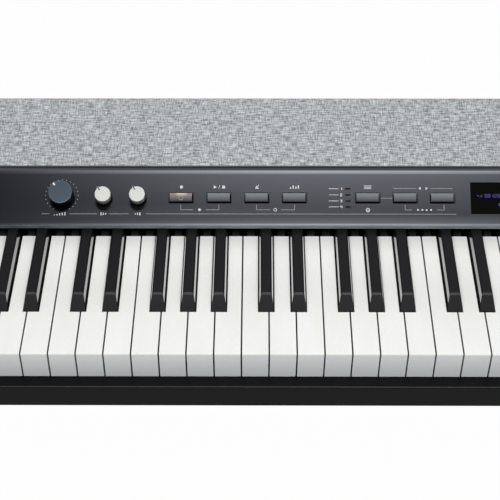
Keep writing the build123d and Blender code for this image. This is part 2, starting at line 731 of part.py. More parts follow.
with BuildPart() as grille_board:
    with BuildSketch(Plane.YZ.offset(-CAP_INNER)):
        with BuildLine():
            FilletPolyline(*side([BOARD_FOOT] + CLOTH_LINE[1:]), radius=[5.0, 5.0])
            offset(amount=CLOTH_WALL + BOARD_WALL, side=Side.RIGHT)
        make_face()
    extrude(amount=2 * CAP_INNER)
    add(grille_cloth.part, mode=Mode.SUBTRACT)
    for x in (-SPEAKER_X, SPEAKER_X):
        with BuildSketch(GRILLE.offset(-CLOTH_WALL - BOARD_WALL - 1)):
            with Locations((x, SPEAKER_ROW)):
                with GridLocations(SLOT_STEP, 0, SLOT_COUNT, 1):
                    Rectangle(*SOUND_SLOT)
        extrude(amount=BOARD_WALL + 4, mode=Mode.SUBTRACT)
save(grille_board, "grille_board")

SPEAKER_DROP = CLOTH_WALL + BOARD_WALL
SPEAKER_MOUTH = (SPEAKER_SIZE[0] - 12, SPEAKER_SIZE[1] - 12)
SPEAKER_WALL = 2.0
MAGNET_RADIUS = 19.0
MAGNET_SIDES = 12
MAGNET_DEPTH = 14.0
RIM_DEPTH = 8.0
BOWL_DEPTH = 16.0
BOWL_TRIM = 24.0
CONE_WALL = 1.6
SPEAKERS = [(-SPEAKER_X, SPEAKER_ROW), (SPEAKER_X, SPEAKER_ROW)]


def speaker_ovals(trim):
    """An eight-sided oval at each speaker, that much smaller than its mouth."""
    width, height = SPEAKER_MOUTH[0] - trim, SPEAKER_MOUTH[1] - trim
    with BuildSketch(GRILLE.offset(-SPEAKER_DROP)) as ovals:
        with Locations(SPEAKERS):
            Rectangle(width, height)
        chamfer(ovals.vertices(), 0.35 * height)
    return ovals.sketch


with BuildPart() as speaker_frames:
    with BuildSketch(GRILLE.offset(-SPEAKER_DROP)):
        with Locations(SPEAKERS):
            Rectangle(*SPEAKER_SIZE)
    extrude(amount=-SPEAKER_WALL)
    extrude(speaker_ovals(-2 * SPEAKER_WALL), amount=-BOWL_DEPTH - 2 * SPEAKER_WALL)
    extrude(speaker_ovals(0), amount=-RIM_DEPTH, mode=Mode.SUBTRACT)
    extrude(speaker_ovals(BOWL_TRIM), amount=-BOWL_DEPTH, mode=Mode.SUBTRACT)
    with BuildSketch(GRILLE.offset(-SPEAKER_DROP - BOWL_DEPTH - 2 * SPEAKER_WALL)):
        with Locations(SPEAKERS):
            RegularPolygon(MAGNET_RADIUS, MAGNET_SIDES)
    extrude(amount=-MAGNET_DEPTH)
save(speaker_frames, "speaker_frames")

# Cones: a shallow rim round a deeper bowl
with BuildPart() as speaker_cones:
    extrude(speaker_ovals(0.4), amount=-RIM_DEPTH + 0.2)
    extrude(speaker_ovals(BOWL_TRIM + 0.4), amount=-BOWL_DEPTH + 0.2)
    extrude(speaker_ovals(0.4 + 2 * CONE_WALL), amount=-RIM_DEPTH + CONE_WALL, mode=Mode.SUBTRACT)
    extrude(speaker_ovals(BOWL_TRIM + 2 * CONE_WALL), amount=-BOWL_DEPTH + CONE_WALL, mode=Mode.SUBTRACT)
save(speaker_cones, "speaker_cones")

# Rear cover: a wall with a top flange that carries the grille board, notched for the sockets
COVER_FLANGE = 253.0
GUSSET_FOOT = 30.0
RIB_X = (-620, -360, -180, 0, 180, 360, 620)
with BuildPart() as rear_cover:
    with BuildSketch(Plane.YZ.offset(-CAP_INNER)):
        with BuildLine():
            Polyline(*side([(COVER_FLANGE, CLOTH_END), (BODY_BACK, CLOTH_END), (BODY_BACK, CASE_BOTTOM)]))
            offset(amount=CASE_WALL, side=Side.RIGHT)
        make_face()
    extrude(amount=2 * CAP_INNER)
    for x in RIB_X:
        with BuildSketch(Plane.YZ.offset(x)):
            with BuildLine():
                flange = CLOTH_END - CASE_WALL
                gusset = [(COVER_FLANGE, flange), (TRAY_BACK, flange), (TRAY_BACK, GUSSET_FOOT)]
                Polyline(*side(gusset), close=True)
            make_face()
        extrude(amount=CASE_WALL)
    jack_height = JACK_PLATE[2] - CASE_BOTTOM
    with Locations((jack_middle, depth(BODY_BACK), level(CASE_BOTTOM + jack_height / 2))):
        Box(JACK_PLATE[1] - JACK_PLATE[0], 20, jack_height, mode=Mode.SUBTRACT)
save(rear_cover, "rear_cover")

# Socket plate in that notch, and the sockets behind it
with BuildPart() as jack_plate:
    with Locations((jack_middle, depth(BODY_BACK - CASE_WALL / 2), level(CASE_BOTTOM + jack_height / 2))):
        Box(JACK_PLATE[1] - JACK_PLATE[0], CASE_WALL, jack_height)
    with BuildSketch(Plane.XZ.offset(-depth(BODY_BACK + 1))):
        with Locations([(x, level(JACK_HEIGHT)) for x in JACK_X]):
            RegularPolygon(JACK_NUT, 6)
        with Locations((INLET_X, level(JACK_HEIGHT))):
            Rectangle(INLET_SIZE, INLET_SIZE)
    extrude(amount=5, mode=Mode.SUBTRACT)
save(jack_plate, "jack_plate")

SOCKET = (15.0, 14.0)
SOCKET_LENGTH = 22.0
NUT_PROUD = 1.5
INLET_BORE = 3.2
INLET_PIN = 1.0
INLET_DEPTH = 12.0
with BuildPart() as jack_sockets:
    with BuildSketch(Plane.XZ.offset(-depth(BODY_BACK - CASE_WALL))):
        with Locations([(x, level(JACK_HEIGHT)) for x in (*JACK_X, INLET_X)]):
            Rectangle(*SOCKET)
    extrude(amount=SOCKET_LENGTH)
    with BuildSketch(Plane.XZ.offset(-depth(BODY_BACK + NUT_PROUD))):
        with Locations([(x, level(JACK_HEIGHT)) for x in JACK_X]):
            RegularPolygon(JACK_NUT, 6)
    extrude(amount=CASE_WALL + NUT_PROUD)
    with BuildSketch(Plane.XZ.offset(-depth(BODY_BACK))):
        with Locations((INLET_X, level(JACK_HEIGHT))):
            Rectangle(INLET_SIZE, INLET_SIZE)
    extrude(amount=CASE_WALL)
    with BuildSketch(Plane.XZ.offset(-depth(BODY_BACK + 2))):
        with Locations([(x, level(JACK_HEIGHT)) for x in JACK_X]):
            Circle(JACK_BORE)
    extrude(amount=SOCKET_LENGTH, mode=Mode.SUBTRACT)
    with BuildSketch(Plane.XZ.offset(-depth(BODY_BACK + 1))):
        with Locations((INLET_X, level(JACK_HEIGHT))):
            Circle(INLET_BORE)
            RegularPolygon(INLET_PIN, 6, mode=Mode.SUBTRACT)
    extrude(amount=INLET_DEPTH, mode=Mode.SUBTRACT)
save(jack_sockets, "jack_sockets")

# Main board on the tray's posts
MAIN_BOARD = (256.0, 34.0)
MAIN_SPOT = (-250.0, 239.0)
CHIP = (16.0, 16.0)
CHIP_SPOTS = [(-310, 238), (-262, 240)]
SHIELD = (34.0, 20.0)
SHIELD_SPOT = (-200.0, 240.0)
CHIP_HEIGHT = 3.0
with BuildPart() as main_board:
    with BuildSketch(Plane.XY.offset(level(FLOOR + BOARD_LIFT))):
        with Locations((MAIN_SPOT[0], depth(MAIN_SPOT[1]))):
            Rectangle(*MAIN_BOARD)
    extrude(amount=PCB)
    with BuildSketch(Plane.XY.offset(level(FLOOR + BOARD_LIFT + PCB))):
        with Locations([(x, depth(d)) for x, d in CHIP_SPOTS]):
            Rectangle(*CHIP)
        with Locations((SHIELD_SPOT[0], depth(SHIELD_SPOT[1]))):
            Rectangle(*SHIELD)
    extrude(amount=CHIP_HEIGHT)
save(main_board, "main_board")

# Stand: side panels on foot bars, and a rear board between them
with BuildPart() as right_side_panel:
    with BuildSketch(Plane.YZ.offset(PANEL_INNER)):
        with BuildLine():
            Polyline(
                (-SIDE_FOOT, FOOT_TOP),
                (SIDE_FOOT, FOOT_TOP),
                (SIDE_HEAD, STAND_TOP),
                (-SIDE_HEAD, STAND_TOP),
                close=True,
            )
        make_face()
    extrude(amount=BOARD_THICK)
    chamfer(right_side_panel.edges().filter_by(Plane.YZ).group_by(Axis.X)[-1], BOARD_CHAMFER)
    rear_middle = REAR_BOARD[0] + BOARD_THICK / 2
    with BuildSketch(Plane.YZ.offset(PANEL_INNER)):
        with Locations((rear_middle, REAR_BOARD[1] + BOLT_INSET), (rear_middle, REAR_BOARD[2] - BOLT_INSET)):
            RegularPolygon(BOARD_BOLT, BOLT_SIDES)
    extrude(amount=BOARD_THICK, mode=Mode.SUBTRACT)
with BuildPart() as left_side_panel:
    add(mirror(right_side_panel.part, about=Plane.YZ, mode=Mode.PRIVATE))
save(right_side_panel, "right_side_panel")
save(left_side_panel, "left_side_panel")

with BuildPart() as rear_board:
    with Locations((0, rear_middle, (REAR_BOARD[1] + REAR_BOARD[2]) / 2)):
        Box(2 * PANEL_INNER, BOARD_THICK, REAR_BOARD[2] - REAR_BOARD[1])
    chamfer(rear_board.edges().filter_by(Axis.X), BOARD_CHAMFER)
    for end in (-PANEL_INNER, PANEL_INNER - BOLT_REACH):
        with BuildSketch(Plane.YZ.offset(end)):
            with Locations((rear_middle, REAR_BOARD[1] + BOLT_INSET), (rear_middle, REAR_BOARD[2] - BOLT_INSET)):
                RegularPolygon(BOARD_BOLT, BOLT_SIDES)
        extrude(amount=BOLT_REACH, mode=Mode.SUBTRACT)
save(rear_board, "rear_board")

with BuildPart() as foot_bars:
    half = FOOT_LENGTH / 2
    for start in (FOOT_X[0], -FOOT_X[1]):
        with BuildSketch(Plane.YZ.offset(start)):
            with BuildLine():
                Polyline(
                    (-half, PAD_HEIGHT),
                    (half, PAD_HEIGHT),
                    (half, PAD_HEIGHT + TOE_HEIGHT),
                    (half - TOE_SLOPE, FOOT_TOP),
                    (TOE_SLOPE - half, FOOT_TOP),
                    (-half, PAD_HEIGHT + TOE_HEIGHT),
                    close=True,
                )
            make_face()
        extrude(amount=FOOT_X[1] - FOOT_X[0])
    chamfer(foot_bars.edges().filter_by(Axis.X), FOOT_CHAMFER)
save(foot_bars, "foot_bars")

with BuildPart() as floor_pads:
    with BuildSketch():
        with GridLocations(FOOT_X[0] + FOOT_X[1], FOOT_LENGTH - 50, 2, 2):
            Rectangle(*PAD_SIZE)
    extrude(amount=PAD_HEIGHT)
save(floor_pads, "floor_pads")

with BuildPart() as case_feet:
    with BuildSketch(Plane.XY.offset(STAND_TOP)):
        with GridLocations(2 * PANEL_OUTER - BOARD_THICK, 2 * CASE_PAD_Y, 2, 2):
            Rectangle(*CASE_PAD)
    extrude(amount=level(CASE_BOTTOM) - STAND_TOP)
save(case_feet, "case_feet")

# Angle brackets that hold the case to the side panels, and their bolts
with BuildPart() as case_brackets:
    for y in (-BRACKET_Y, BRACKET_Y):
        with BuildSketch(Plane.XZ.offset(-y - BRACKET_WIDTH / 2)):
            with BuildLine():
                corner = (PANEL_INNER, level(CASE_BOTTOM))
                Polyline((BRACKET_EDGE, level(CASE_BOTTOM)), corner, (PANEL_INNER, level(BRACKET_DROP)))
                offset(amount=BRACKET_WALL, side=Side.RIGHT)
            make_face()
        extrude(amount=BRACKET_WIDTH)
    with BuildSketch(Plane.XY.offset(level(CASE_BOTTOM))):
        with Locations((CASE_BOLT_X, -BRACKET_Y), (CASE_BOLT_X, BRACKET_Y)):
            Rectangle(*BOLT_SLOT)
    extrude(amount=-BRACKET_WALL, mode=Mode.SUBTRACT)
    mirror(about=Plane.YZ)
save(case_brackets, "case_brackets")

with BuildPart() as case_bolts:
    with BuildSketch(Plane.XY.offset(level(CASE_BOTTOM) - BRACKET_WALL)):
        with GridLocations(2 * CASE_BOLT_X, 2 * BRACKET_Y, 2, 2):
            RegularPolygon(GRIP_RADIUS, BOLT_SIDES)
    extrude(amount=-GRIP_HEIGHT)
    with BuildSketch(Plane.XY.offset(level(CASE_BOTTOM) - BRACKET_WALL)):
        with GridLocations(2 * CASE_BOLT_X, 2 * BRACKET_Y, 2, 2):
            RegularPolygon(CASE_BOLT, BOLT_SIDES)
    extrude(amount=CASE_BOLT_LENGTH)
save(case_bolts, "case_bolts")

with BuildPart() as board_bolts:
    spots = [(rear_middle, REAR_BOARD[1] + BOLT_INSET), (rear_middle, REAR_BOARD[2] - BOLT_INSET)]
    for radius, amount in ((2 * BOARD_BOLT, BOARD_BOLT_HEAD), (BOARD_BOLT, 4 - BOARD_THICK - BOLT_REACH)):
        with BuildSketch(Plane.YZ.offset(PANEL_OUTER)):
            with Locations(spots):
                RegularPolygon(radius, BOLT_SIDES)
        extrude(amount=amount)
    mirror(about=Plane.YZ)
save(board_bolts, "board_bolts")
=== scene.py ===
import json
from math import cos, pi, radians, sin

import bmesh
import bpy
from mathutils import Matrix, Vector


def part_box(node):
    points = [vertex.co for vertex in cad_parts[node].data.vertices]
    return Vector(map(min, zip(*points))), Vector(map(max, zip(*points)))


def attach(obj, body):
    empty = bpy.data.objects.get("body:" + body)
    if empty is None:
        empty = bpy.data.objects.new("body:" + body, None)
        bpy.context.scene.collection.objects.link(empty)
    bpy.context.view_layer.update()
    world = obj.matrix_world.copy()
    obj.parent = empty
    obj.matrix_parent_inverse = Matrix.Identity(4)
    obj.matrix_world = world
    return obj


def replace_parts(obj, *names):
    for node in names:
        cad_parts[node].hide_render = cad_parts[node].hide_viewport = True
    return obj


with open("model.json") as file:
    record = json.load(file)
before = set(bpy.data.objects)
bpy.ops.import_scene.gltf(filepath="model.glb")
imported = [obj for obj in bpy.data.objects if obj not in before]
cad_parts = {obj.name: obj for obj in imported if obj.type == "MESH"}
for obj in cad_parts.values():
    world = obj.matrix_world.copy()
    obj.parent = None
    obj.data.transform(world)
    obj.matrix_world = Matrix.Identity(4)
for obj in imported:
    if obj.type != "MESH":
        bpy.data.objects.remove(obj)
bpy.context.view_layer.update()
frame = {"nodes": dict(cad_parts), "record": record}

record = frame["record"]
nodes = frame["nodes"]
CASE = "case_and_stand"
body_of = {node: body for body, held in record["behaviour"]["bodies"].items() for node in held}
slot_of = {row["node"]: row["material_slot"] for row in record["subparts"]}

# The control panel's face in millimetres: x along the piano, y up the slope, z out of the face
MM = 1000  # millimetres in a metre
PANEL_FOOT = (0, 0.0214, 0.7538)
PANEL_TILT = radians(33)
FACE = Matrix.Translation(PANEL_FOOT) @ Matrix.Rotation(PANEL_TILT, 4, "X") @ Matrix.Scale(1 / MM, 4)
TO_FACE = FACE.inverted()
BUTTON_ROW = 24.85
RECORD_X = -291.7
# Knobs: x, row, radius, top, pointer in degrees left of straight up
VOLUME = (-401.8, 27.0, 10.75, 11.9, 39)
BASS = (-363.0, 24.9, 7.35, 12.3, 37)
TREBLE = (-331.6, 24.9, 7.35, 12.3, 27)


def srgb(red, green, blue):
    def linear(level):
        level = level / 255
        return level / 12.92 if level <= 0.04045 else ((level + 0.055) / 1.055) ** 2.4
    return (linear(red), linear(green), linear(blue), 1.0)


class Value:
    """A shader socket that takes part in sums."""

    def __init__(self, finish, socket):
        self.finish = finish
        self.socket = socket

    def combine(self, operation, first, second):
        return self.finish.node("ShaderNodeMath", {"operation": operation}, {0: first, 1: second})

    def __add__(self, other):
        return self.combine("ADD", self, other)

    def __radd__(self, other):
        return self.combine("ADD", other, self)

    def __sub__(self, other):
        return self.combine("SUBTRACT", self, other)

    def __rsub__(self, other):
        return self.combine("SUBTRACT", other, self)

    def __mul__(self, other):
        return self.combine("MULTIPLY", self, other)

    def __rmul__(self, other):
        return self.combine("MULTIPLY", other, self)

    def sine(self):
        return self.combine("SINE", self, 0.0)

    def ease(self, low, high):
        settings = {"interpolation_type": "SMOOTHSTEP"}
        return self.finish.node("ShaderNodeMapRange", settings, {0: self, 1: low, 2: high})


class Finish:
    """The shader of a surface or of the studio around it."""

    def __init__(self, owner):
        owner.use_nodes = True
        self.owner = owner
        self.tree = owner.node_tree
        self.shader = next(n for n in self.tree.nodes if n.type in ("BSDF_PRINCIPLED", "BACKGROUND"))

    def node(self, kind, settings, sockets, output=0):
        made = self.tree.nodes.new(kind)
        for name, value in settings.items():
            setattr(made, name, value)
        self.feed(made, sockets)
        return Value(self, made.outputs[output])

    def feed(self, node, sockets):
        for name, value in sockets.items():
            if isinstance(value, Value):
                self.tree.links.new(value.socket, node.inputs[name])
            else:
                node.inputs[name].default_value = value

    def surface(self, sockets):
        self.feed(self.shader, sockets)
        return self

    def place(self, source, stretch):
        spot = self.node("ShaderNodeTexCoord", {}, {}, source)
        return self.node("ShaderNodeVectorMath", {"operation": "MULTIPLY"}, {0: spot, 1: stretch})

    def axis(self, source, stretch, name):
        return self.node("ShaderNodeSeparateXYZ", {}, {0: self.place(source, stretch)}, name)

    def noise(self, stretch, detail=2.0, source="Object"):
        sockets = {"Vector": self.place(source, stretch), "Scale": 1.0, "Detail": detail}
        return self.node("ShaderNodeTexNoise", {}, sockets)

    def mix(self, factor, first, second):
        return self.node("ShaderNodeMix", {"data_type": "RGBA"}, {0: factor, 6: first, 7: second}, 2)

    def bump(self, height, distance):
        normal = self.node("ShaderNodeBump", {}, {"Height": height, "Distance": distance})
        return self.surface({"Normal": normal})


def material(name):
    return Finish(bpy.data.materials.new(name))


def moulded(name, dark, light, roughness, grain, depth, specular):
    """Moulded plastic: fine grain in the surface, a faint cloud in the colour."""
    finish = material(name)
    cloud = finish.noise((16, 16, 16), 3.0)
    fine = finish.noise((grain, grain, grain), 2.0)
    finish.surface({
        "Base Color": finish.mix((cloud + fine) * 0.5, dark, light),
        "Roughness": roughness + (fine - 0.5) * 0.15,
        "Specular IOR Level": specular,
    })
    return finish.bump(fine, depth)


def metal(name, dark, light, roughness, stretch, metallic):
    """Drawn or coated metal, streaked one way."""
    finish = material(name)
    streak = finish.noise(stretch, 3.0)
    finish.surface({
        "Base Color": finish.mix(streak, dark, light),
        "Roughness": roughness + (streak - 0.5) * 0.2,
        "Metallic": metallic,
    })
    return finish.bump(streak, 0.00002)


def ivory_plastic():
    """Ivory-white plastic, with painted light that makes it whitest near the panel and painted shade that
    greys it down the fronts.
    """
    finish = material("ivory_white")
    cloud = finish.noise((30, 9, 30), 3.0)
    fine = finish.noise((900, 300, 900), 2.0)
    ivory = finish.mix(cloud.ease(0.3, 0.7), srgb(237, 237, 233), srgb(242, 243, 241))
    # Painted light: whiter toward the panel end
    panel_end_painted_light = finish.axis("Object", (1, 1, 1), "Y").ease(-0.05, 0.02)
    # Painted shade: greyer below the key tops
    low = 1 - finish.axis("Object", (1, 1, 1), "Z").ease(0.7325, 0.7347)
    finish.surface({
        "Base Color": finish.mix(low, finish.mix(panel_end_painted_light, ivory, srgb(253, 253, 251)), srgb(226, 228, 228)),
        "Roughness": 0.26 + (fine - 0.5) * 0.1,
        "Specular IOR Level": 0.4,
    })
    return finish.bump(fine, 0.000004)


def up_slope(finish):
    """Distance up the control panel's slope, in millimetres."""
    run, rise = cos(PANEL_TILT), sin(PANEL_TILT)
    foot = PANEL_FOOT[1] * run + PANEL_FOOT[2] * rise
    back = finish.axis("Object", (1, MM * run, 1), "Y")
    up = finish.axis("Object", (1, 1, MM * rise), "Z")
    return back + up - MM * foot


def panel_paint():
    """Satin charcoal paint with fine metal flake, with a painted shadow in front of each knob's foot."""
    finish = material("panel_charcoal")
    flake = finish.noise((2600, 2600, 2600), 1.0)
    cloud = finish.noise((7, 30, 30), 3.0)
    paint = finish.mix(flake.ease(0.35, 0.65) * 0.5 + cloud * 0.5, srgb(115, 118, 125), srgb(129, 132, 140))
    across, slope = finish.axis("Object", (MM, 1, 1), "X"), up_slope(finish)
    shadow_shift = 5.0
    # Painted shadows: the paint turns near black in front of each knob's foot
    for x, row, radius, _, _ in (VOLUME, BASS, TREBLE):
        aside, ahead = across - x, slope - (row - shadow_shift)
        dark = 1 - (aside * aside + ahead * ahead).ease((radius - 1.5) ** 2, (radius + 1.6) ** 2)
        paint = finish.mix(dark * 0.93, paint, srgb(9, 9, 11))
    finish.surface({
        "Base Color": paint,
        "Roughness": 0.055 + (flake - 0.5) * 0.03,
        "Metallic": 1.0,
    })
    return finish.bump(flake, 0.000003)


def lip_paint():
    """The panel's paint where it turns down over the keys: a diffuse grey as a painted reflection, with
    painted shade darker toward the bass end.
    """
    finish = material("lip_painted_reflection")
    flake = finish.noise((2200, 2200, 2200), 2.0)
    # Painted shade: darker toward the bass end
    full = finish.axis("Object", (1, 1, 1), "X").ease(-0.5, -0.22)
    finish.surface({
        "Base Color": finish.mix(full * 0.9 + flake * 0.1, srgb(64, 67, 71), srgb(125, 128, 134)),
        "Roughness": 0.5 + (flake - 0.5) * 0.15,
        "Specular IOR Level": 0.3,
    })
    return finish.bump(flake, 0.00001)


def painted_glow_along_edge(finish, slope, grey):
    """The record button's upper edge, with a painted red glow, as if lit from inside, paler at its middle and
    fading down its crown.
    """
    aside = finish.axis("Object", (MM, 1, 1), "X") - RECORD_X
    lit = finish.mix((aside * aside).ease(2.0, 40.0), srgb(226, 204, 172), srgb(176, 122, 118))
    warm = finish.mix(slope.ease(25.2, 29.4), grey, lit)
    return finish.mix(slope.ease(28.9, 29.4), warm, srgb(160, 66, 66))


def button_plastic(name, lit=False):
    """Soft grey plastic, with painted shade that darkens it toward the front edge of each button."""
    finish = material(name)
    fine = finish.noise((2000, 2000, 2000), 2.0)
    slope = up_slope(finish)
    shade = slope.ease(19.2, 29.8)
    grey = finish.mix(shade if lit else shade * 0.9 + fine * 0.1, srgb(52, 54, 57), srgb(131, 136, 140))
    finish.surface({
        "Base Color": painted_glow_along_edge(finish, slope, grey) if lit else grey,
        "Roughness": 0.6 + (fine - 0.5) * 0.15,
        "Specular IOR Level": 0.15,
    })
    return finish.bump(fine, 0.00001)


def grille_linen():
    """Grey linen: uneven slubs along both threads over a close plain weave."""
    finish = material("grille_linen")
    across = finish.noise((120, 900, 1), 1.0, "UV")
    along = finish.noise((880, 180, 1), 1.0, "UV")
    patch = finish.noise((60, 60, 1), 2.0, "UV")
    pitch = 0.0009
    turn = 2 * pi / pitch
    weave = finish.axis("UV", (turn, 0, 0), "X").sine() * finish.axis("UV", (0, turn, 0), "Y").sine()
    thread = (across - 0.5) * 1.6 + (along - 0.5) * 1.3 + (patch - 0.5) * 0.2 + weave * 0.16 + 0.5
    finish.surface({
        "Base Color": finish.mix(thread.ease(-0.15, 1.15), srgb(112, 116, 119), srgb(222, 226, 228)),
        "Roughness": 0.92 - thread * 0.08,
        "Specular IOR Level": 0.15,
        "Sheen Weight": 0.12,
    })
    return finish.bump(thread + weave * 0.3, 0.00025)


def board_laminate():
    """Black laminate with a faint open grain."""
    finish = material("stand_laminate")
    grain = finish.noise((240, 240, 7), 4.0)
    pore = finish.noise((1500, 1500, 40), 2.0).ease(0.52, 0.72)
    finish.surface({
        "Base Color": finish.mix(grain, srgb(26, 25, 26), srgb(46, 45, 46)),
        "Roughness": 0.42 + pore * 0.2,
        "Specular IOR Level": 0.35,
    })
    return finish.bump(grain * 0.3 - pore, 0.00005)


def circuit_board():
    finish = material("circuit_board")
    cells = {"Vector": finish.place("Object", (260, 260, 260)), "Scale": 1.0}
    trace = finish.node("ShaderNodeTexVoronoi", {"distance": "MANHATTAN"}, cells).ease(0.35, 0.42)
    return finish.surface({
        "Base Color": finish.mix(trace, srgb(22, 74, 44), srgb(34, 104, 62)),
        "Roughness": 0.5 - trace * 0.15,
    })


FINISHES = {
    "white_key": ivory_plastic(),
    "black_key": moulded("key_black", srgb(26, 26, 28), srgb(32, 32, 34), 0.3, 1400, 0.000004, 0.1),
    "case_black": moulded("case_black", srgb(4, 4, 7), srgb(7, 7, 11), 0.32, 2200, 0.00001, 0.1),
    "panel_charcoal": panel_paint(),
    "grille_cloth": grille_linen(),
    "knob_blue": moulded("knob_blue", srgb(48, 63, 75), srgb(57, 72, 84), 0.4, 1800, 0.00001, 0.4),
    "knob_white": moulded("knob_white", srgb(204, 205, 201), srgb(214, 215, 211), 0.45, 1800, 0.00002, 0.35),
    "button_grey": button_plastic("button_grey"),
    "display_black": moulded("display_black", srgb(6, 6, 7), srgb(9, 9, 10), 0.3, 500, 0.000002, 0.03),
    "lamp": moulded("lamp_smoked", srgb(14, 12, 13), srgb(22, 18, 19), 0.3, 900, 0.00001, 0.12),
    "circuit_board": circuit_board(),
    "frame_plastic": moulded("frame_plastic", srgb(20, 20, 22), srgb(30, 30, 32), 0.6, 1200, 0.00004, 0.2),
    "steel": metal("bright_steel", srgb(182, 184, 188), srgb(205, 207, 210), 0.3, (40, 2200, 2200), 1.0),
    "black_steel": metal("coated_steel", srgb(20, 20, 21), srgb(32, 32, 34), 0.5, (900, 900, 900), 0.3),
    "rubber": moulded("foot_rubber", srgb(22, 22, 23), srgb(32, 32, 33), 0.85, 1500, 0.00005, 0.2),
    "felt": moulded("stop_felt", srgb(74, 26, 28), srgb(104, 38, 40), 0.95, 700, 0.0003, 0.1),
    "paper_cone": moulded("cone_paper", srgb(26, 26, 27), srgb(40, 39, 38), 0.9, 600, 0.0001, 0.15),
    "stand_board": board_laminate(),
}
ARM = moulded("key_arm", srgb(40, 43, 47), srgb(50, 53, 57), 0.7, 900, 0.00002, 0.1)
PRINT = moulded("panel_print", srgb(198, 200, 204), srgb(210, 212, 216), 0.5, 1500, 0.000005, 0.3)
RULE = moulded("rule_print", srgb(144, 147, 152), srgb(158, 161, 166), 0.5, 1500, 0.000005, 0.3)
# Black of the volume knob's skirt and of the tone knobs' pointer lines, and painted shade on the tone knobs'
# collars
KNOB_BLACK_AND_SHADE = moulded("black_knob_and_painted_shade", srgb(7, 7, 8), srgb(11, 11, 12), 0.6, 1600, 0.00002, 0.04)
POINTER = moulded("pointer_white", srgb(232, 233, 232), srgb(240, 241, 240), 0.45, 1600, 0.000005, 0.3)
GLYPH = moulded("display_glyph", srgb(54, 56, 122), srgb(68, 70, 140), 0.4, 1600, 0.000002, 0.2)
# The record button's grey with a painted glow along its upper edge
RECORD_PAINTED_GLOW = button_plastic("record_painted_glow", lit=True)
# Painted shade: near black for the panel's openings, the button caps' sides and the black keys' lower flanks
PAINTED_SHADE_BLACK = moulded("painted_shade_black", srgb(4, 4, 6), srgb(7, 7, 9), 0.8, 1200, 0.00002, 0.05)
# Real gloss on the slip's front round, its colour a little lighter than the case black as a painted highlight
SLIP_EDGE_GLOSS_AND_HIGHLIGHT = moulded("slip_edge_gloss_and_highlight", srgb(9, 9, 11), srgb(12, 12, 14), 0.25, 2200, 0.000005, 0.17)
KEY_GLOSS = moulded("key_gloss", srgb(16, 16, 18), srgb(22, 22, 24), 0.06, 1400, 0.000001, 1.0)
KEY_GLOSS.surface({"Coat Weight": 1.0, "Coat Roughness": 0.04, "Coat IOR": 1.8})
# Painted shade: a greyed ivory for the naturals' side walls
NATURAL_SIDE_PAINTED_SHADE = moulded("natural_side_painted_shade", srgb(166, 166, 163), srgb(176, 176, 173), 0.45, 900, 0.000004, 0.2)
# Painted highlight: a lighter grey along each black key's crease
BLACK_CREASE_PAINTED_HIGHLIGHT = moulded("black_crease_painted_highlight", srgb(46, 46, 48), srgb(56, 56, 58), 0.3, 1400, 0.000001, 0.4)
# Painted reflection on the lip, with painted shade toward the bass end
LIP_PAINTED_REFLECTION = lip_paint()
# Painted shade: a flat darker grey for the cloth's front-facing hem
HEM_PAINTED_SHADE = moulded("cloth_hem_painted_shade", srgb(106, 110, 116), srgb(116, 120, 126), 0.7, 1800, 0.00002, 0.2)
# Painted reflection: a diffuse grey for the panel's flat flange
FLANGE_PAINTED_REFLECTION = moulded("flange_painted_reflection", srgb(74, 77, 82), srgb(82, 85, 90), 0.5, 2200, 0.00001, 0.3)
# Painted shade: grey for the tone knobs' white sides
TONE_SIDE_PAINTED_SHADE = moulded("tone_side_painted_shade", srgb(122, 123, 121), srgb(136, 137, 134), 0.5, 1600, 0.00002, 0.3)
# Painted highlight: a lighter blue for the volume knob's rim
RIM_PAINTED_HIGHLIGHT = moulded("volume_rim_painted_highlight", srgb(84, 100, 112), srgb(96, 112, 124), 0.22, 1800, 0.000005, 0.5)


def piece(name, bm, body, slot, *finishes):
    mesh = bpy.data.meshes.new(name)
    bm.to_mesh(mesh)
    bm.free()
    mesh.shade_smooth()
    mesh.set_sharp_from_angle(angle=radians(32))
    made = bpy.data.objects.new(name, mesh)
    bpy.context.scene.collection.objects.link(made)
    for finish in finishes:
        mesh.materials.append(finish.owner)
    even = made.modifiers.new("even_normals", "WEIGHTED_NORMAL")
    even.keep_sharp = True
    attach(made, body)
    return made


def solid_of(name):
    """A clean copy of a solid: its triangles merged back into whole faces."""
    bm = bmesh.new()
    bm.from_mesh(nodes[name].data)
    bmesh.ops.remove_doubles(bm, verts=bm.verts, dist=1e-6)
    bmesh.ops.dissolve_limit(bm, angle_limit=radians(1), verts=bm.verts, edges=bm.edges)
    return bm


def corners(bm, wanted=None, least=32):
    """The solid's sharp edges, or those of them that are wanted."""
    sharp = [e for e in bm.edges if len(e.link_faces) == 2 and e.calc_face_angle() > radians(least)]
    return [e for e in sharp if wanted is None or wanted(e)]


def cut(bm, point, normal):
    everything = bm.verts[:] + bm.edges[:] + bm.faces[:]
    bmesh.ops.bisect_plane(bm, geom=everything, plane_co=point, plane_no=normal)


def ease_edges(bm, edges, width, segments):
    bmesh.ops.bevel(bm, geom=edges, offset=width, offset_type="OFFSET", segments=segments, profile=0.5,
                    affect="EDGES", clamp_overlap=True, material=-1)


def eased(name, width, segments=2, wanted=None, zones=(), least=32, shape=None):
    """A solid with its edges rounded, shown in the solid's place; zones of it can take other finishes."""
    bm = solid_of(name)
    if shape:
        shape(bm)
    ease_edges(bm, corners(bm, wanted, least), width, segments)
    bm.normal_update()
    for index, (_, chosen) in enumerate(zones, 1):
        for face in bm.faces:
            if chosen(face.calc_center_median(), face.normal):
                face.material_index = index
    finishes = [FINISHES[slot_of[name]]] + [finish for finish, _ in zones]
    made = piece(name + "_shell", bm, body_of[name], slot_of[name], *finishes)
    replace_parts(made, name)
    return made


